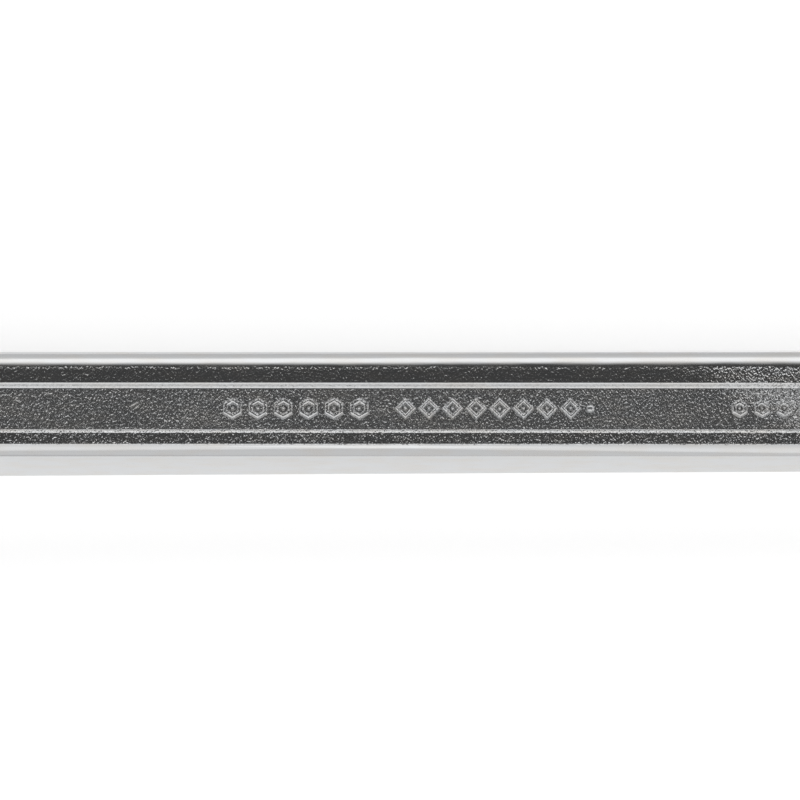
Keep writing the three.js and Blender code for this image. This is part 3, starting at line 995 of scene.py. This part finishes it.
def satin_chrome():
    """Chrome plate over a shot-blasted forging: bright and smooth where the forging was ground and polished,
    on its shoulders, sides and heads, and sparkling with a coarse grain on the rails and in the panels."""
    made, tree = material("chrome_plate_on_blasted_forging")
    mm = millimetres(tree)
    axes = node(tree, "ShaderNodeSeparateXYZ", links={"Vector": mm})
    x, y = (axes, "X"), (axes, "Y")

    # The grinding wheel leaves a wavering border between the blasted rails and the polished shoulders
    waver = noise(tree, mm, 1.6, 3.0)
    wavering = maths(tree, "ADD", y, maths(tree, "MULTIPLY_ADD", waver, 0.5, -0.25))
    borders = [
        spread(tree, wavering, NEAR_BORDER - 0.06, NEAR_BORDER + 0.06, 0.0, 1.0),
        spread(tree, wavering, FAR_BORDER + 0.125, FAR_BORDER - 0.125, 0.0, 1.0),
    ]
    drift = noise(tree, mm, 0.15, 3.0)
    for head_x, reach in HEAD_POLISH:
        settings = {"operation": "DISTANCE", 1: (head_x, 0, MID_Z)}
        away = node(tree, "ShaderNodeVectorMath", settings, {0: mm})
        ragged = maths(tree, "MULTIPLY_ADD", drift, HEAD_FADE, (away, "Value"))
        borders.append(spread(tree, ragged, reach, reach + HEAD_FADE, 0.0, 1.0))
    blasted = product(tree, *borders)

    # The grain is about 0.3 mm across. On the rails it fades towards the far side. It gets coarser towards
    # the open end, first at the far side, and weakens where the panel ends
    floor_edge = PANEL_FLOOR / 2
    off_middle = maths(tree, "ABSOLUTE", maths(tree, "SUBTRACT", y, PANEL_SHIFT))
    on_floor = spread(tree, off_middle, floor_edge + 0.1, floor_edge - 0.15, 0.0, FLOOR_GRAIN)
    on_rails = spread(tree, y, -5.3, 2.0, *RAIL_GRAIN)
    coarser = spread(tree, maths(tree, "MULTIPLY_ADD", y, 1.5, x), 37.0, 43.0, 1.0, CORNER_GRAIN)
    finer = spread(tree, x, 50.0, 56.0, 1.0, 0.6)
    strength = product(tree, blasted, maths(tree, "MAXIMUM", on_floor, on_rails), coarser, finer)
    grain = noise(tree, millimetres(tree, stretch=(1.7, 1, 1)), GRAIN_SCALE)

    # Polishing leaves long shallow waves
    waves = noise(tree, millimetres(tree, stretch=(0.12, 0.5, 0.5)), 1.0, 2.0)
    settings = {"Distance": WAVE_RELIEF * MM, "Strength": 0.09}
    polish = node(tree, "ShaderNodeBump", settings, {"Height": waves})
    bump = node(
        tree,
        "ShaderNodeBump",
        {"Distance": GRAIN_RELIEF * MM},
        {"Height": grain, "Strength": strength, "Normal": (polish, "Normal")},
    )

    # Fine haze that comes and goes over the plate, more of it on the panel's floor, and a slightly warmer
    # tone in patches
    haze = noise(tree, millimetres(tree, stretch=(0.3, 1, 1)), 0.8, 3.0)
    hazed = spread(tree, haze, 0.3, 0.7, 0.1, 0.14)
    etched = spread(tree, on_floor, 0.0, FLOOR_GRAIN, 0.05, 0.12)
    tone = two_tones(tree, spread(tree, haze, 0.4, 0.75, 0.0, 1.0), "#CDCECF", "#CCCAC7")
    roughness = maths(tree, "MULTIPLY_ADD", blasted, etched, hazed)
    links = {"Base Color": tone, "Roughness": roughness, "Normal": (bump, "Normal")}
    surface(tree, {"Metallic": 1.0}, links)
    return made


def mottled(name, tones, roughness, place, scale, relief, metallic=1.0):
    """A finish in two tones that drift over the piece, with a fine relief and a roughness that follow the
    same marks. place makes the coordinates, scale is in marks per millimetre, relief is in millimetres."""
    made, tree = material(name)
    marks = noise(tree, place(tree), scale, 3.0)
    patches = noise(tree, millimetres(tree), 0.5, 2.0)
    tone = two_tones(tree, spread(tree, patches, 0.35, 0.65, 0.0, 1.0), *tones)
    rough = spread(tree, marks, 0.3, 0.7, *roughness)
    settings = {"Distance": relief * MM, "Strength": 1.0}
    bump = node(tree, "ShaderNodeBump", settings, {"Height": marks})
    links = {"Base Color": tone, "Roughness": rough, "Normal": (bump, "Normal")}
    surface(tree, {"Metallic": metallic}, links)
    return made


def turned_steel():
    """Nickel-plated turned steel: fine rings round the gear's face that spread its highlights."""
    tones = ("#B9B7B2", "#A9A7A3")
    return mottled("nickel_plated_turned_steel", tones, (0.16, 0.34), about_gear, 4.0, 0.012)


def phosphated_spring_steel():
    """Phosphate coat on stamped spring steel: dark grey, dull, with a fine crystal grain."""
    tones = ("#4A4B4C", "#3B3C3E")
    return mottled("phosphated_spring_steel", tones, (0.38, 0.6), millimetres, 9.0, 0.01)


def ground_steel():
    """Hardened steel ground along its length: straw-grey, with straight fine scratches."""
    tones = ("#A8A49C", "#96938D")
    return mottled("ground_hardened_steel", tones, (0.2, 0.38), along_grind, 1.0, 0.01)


def black_oxide():
    """Black oxide on cast steel: near-black with a soft sheen and a fine cast skin."""
    tones = ("#2E2F31", "#232426")
    return mottled("black_oxide_on_cast_steel", tones, (0.3, 0.5), millimetres, 3.2, 0.025)


def nitrile_rubber():
    """Moulded nitrile rubber: black, matt, faintly dusty."""
    tones = ("#1C1C1D", "#27272A")
    return mottled("moulded_nitrile_rubber", tones, (0.55, 0.75), millimetres, 6.0, 0.012, metallic=0.0)


def zinc_plated_steel():
    """Bright zinc on a small retaining clip: pale, bluish, slightly spangled."""
    tones = ("#AEB2B8", "#9EA2A6")
    return mottled("zinc_plated_spring_steel", tones, (0.22, 0.42), millimetres, 5.0, 0.01)


def drawn_wire():
    """Drawn music wire: bright grey with dark draw marks."""
    tones = ("#8E8F90", "#77787A")
    return mottled("drawn_music_wire", tones, (0.25, 0.45), millimetres, 7.0, 0.01)


def finish_with(obj, made):
    obj.data.materials.clear()
    obj.data.materials.append(made)


# ---- The wrench -------------------------------------------------------------------------------


def fit(piece, made, body, stands_for):
    """Finishes a piece, lets it ride on its body and puts it in the place of its CAD node."""
    finish_with(piece, made)
    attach(piece, body)
    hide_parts(stands_for)


steel = ground_steel()
fit(forged_body(), satin_chrome(), "wrench", "wrench_body")
fit(gear_with_socket(), turned_steel(), "gear", "ratchet_gear")
fit(ring_clip(), phosphated_spring_steel(), "wrench", "gear_circlip")
fit(rocker_pin(), steel, "wrench", "pawl_pin")
fit(thumb_lever(), black_oxide(), "lever", "reverse_lever")
fit(stem_seal(), nitrile_rubber(), "lever", "lever_seal")
fit(stem_clip(), zinc_plated_steel(), "lever", "lever_clip")
fit(plunger_cap(), steel, "plunger", "plunger")
spring = coil_spring()
fit(spring, drawn_wire(), "lever", "plunger_spring")
finish_with(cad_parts["pawl"], steel)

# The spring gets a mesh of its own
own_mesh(spring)


# ---- Studio -----------------------------------------------------------------------------------

TABLE_SIZE = 8
TABLE_TONE = 0.86
TABLE_GLOW = 0.52

# Brightness of the studio by direction, in degrees from level behind the wrench, over straight up, to level
# in front of it: a pale wall, a bright strip, a dark ceiling that the broad face mirrors, and a pale wall
# again
WALLS = [
    (-180, 0.2),
    (-10, 0.3),
    (0, 0.32),
    (14, 0.37),
    (26, 0.42),
    (30, 0.72),
    (40, 0.72),
    (48, 0.03),
    (88, 0.03),
    (98, 0.2),
    (105, 0.28),
    (112, 0.33),
    (125, 0.41),
    (160, 0.43),
    (170, 0.28),
    (180, 0.2),
]
LEVEL_TONE = 0.38
STUDIO_STRENGTH = 2.0

SOFTBOX_SIZE = 0.9
SOFTBOX_AWAY = 0.9
SOFTBOX_POWER = 0.8
SOFTBOX_SIDE = math.radians(40)

ELEVATION = math.radians(65)
ROLL = math.radians(-0.16)
VIEW_WIDTH = 90.6 * MM
TARGET = Vector((0, 1.4, MID_Z + 0.2)) * MM
LENS = 100.0
SENSOR = 36.0


def light_table():
    """The pale surface that the wrench lies on, lit from below."""
    deselect()
    bpy.ops.mesh.primitive_plane_add(size=TABLE_SIZE, location=(0, 0, 0))
    floor = bpy.context.object
    floor.name = "floor"
    made, tree = material("pale_light_table")
    settings = {
        "Base Color": (TABLE_TONE, TABLE_TONE, TABLE_TONE, 1),
        "Roughness": 0.9,
        "Specular IOR Level": 0.0,
        "Emission Color": (1, 1, 1, 1),
        "Emission Strength": TABLE_GLOW,
    }
    surface(tree, settings, {})
    finish_with(floor, made)


def walls():
    """The studio round the table. Its brightness changes only with a direction's tilt about X."""
    world = bpy.data.worlds.new("studio")
    bpy.context.scene.world = world
    world.use_nodes = True
    tree = world.node_tree
    tree.nodes.clear()
    place = node(tree, "ShaderNodeTexCoord")
    axes = node(tree, "ShaderNodeSeparateXYZ", links={"Vector": (place, "Generated")})
    tilt = maths(tree, "ARCTAN2", (axes, "Z"), (axes, "Y"))
    share = spread(tree, tilt, -math.pi, math.pi, 0.0, 1.0)
    tones = node(tree, "ShaderNodeFloatCurve", links={"Value": share})
    curve = tones.mapping.curves[0]
    points = [((angle + 180) / 360, tone) for angle, tone in WALLS]
    curve.points[0].location = points[0]
    curve.points[1].location = points[-1]
    for point in points[1:-1]:
        curve.points.new(*point)
    for point in curve.points:
        point.handle_type = "VECTOR"
    tones.mapping.update()
    # All round, just above the table, the studio is one plain grey
    above = spread(tree, (axes, "Z"), 0.15, 0.24, 0.0, 1.0)
    settings = {"data_type": "FLOAT", 2: LEVEL_TONE}
    tone = node(tree, "ShaderNodeMix", settings, {0: above, 3: (tones, "Value")})
    strength = maths(tree, "MULTIPLY", (tone, 0), STUDIO_STRENGTH)
    background = node(tree, "ShaderNodeBackground", {"Color": (1, 1, 1, 1)}, {"Strength": strength})
    node(tree, "ShaderNodeOutputWorld", links={"Surface": (background, "Background")})


def side_softboxes():
    """Two weak softboxes in front, to the left and right."""
    for side in (-1, 1):
        light = bpy.data.lights.new(f"side_softbox_{side}", "AREA")
        light.shape = "SQUARE"
        light.size = SOFTBOX_SIZE
        light.energy = SOFTBOX_POWER
        lamp = bpy.data.objects.new(light.name, light)
        bpy.context.collection.objects.link(lamp)
        away = Vector((side * math.cos(SOFTBOX_SIDE), -math.sin(SOFTBOX_SIDE), 1.2)).normalized()
        lamp.location = away * SOFTBOX_AWAY
        lamp.rotation_mode = "QUATERNION"
        lamp.rotation_quaternion = away.to_track_quat("Z", "Y")


def camera():
    """Looks down on the middle of the shank from the near side."""
    lens = bpy.data.cameras.new("camera")
    lens.lens = LENS
    lens.sensor_width = SENSOR
    lens.clip_start = 0.01
    holder = bpy.data.objects.new("camera", lens)
    bpy.context.collection.objects.link(holder)
    back = Vector((0, -math.cos(ELEVATION), math.sin(ELEVATION)))
    holder.location = TARGET + back * VIEW_WIDTH * LENS / SENSOR
    holder.rotation_mode = "QUATERNION"
    holder.rotation_quaternion = back.to_track_quat("Z", "Y") @ Quaternion((0, 0, 1), ROLL)
    bpy.context.scene.camera = holder
    bpy.context.scene.view_settings.view_transform = "Standard"


light_table()
walls()
side_softboxes()
camera()
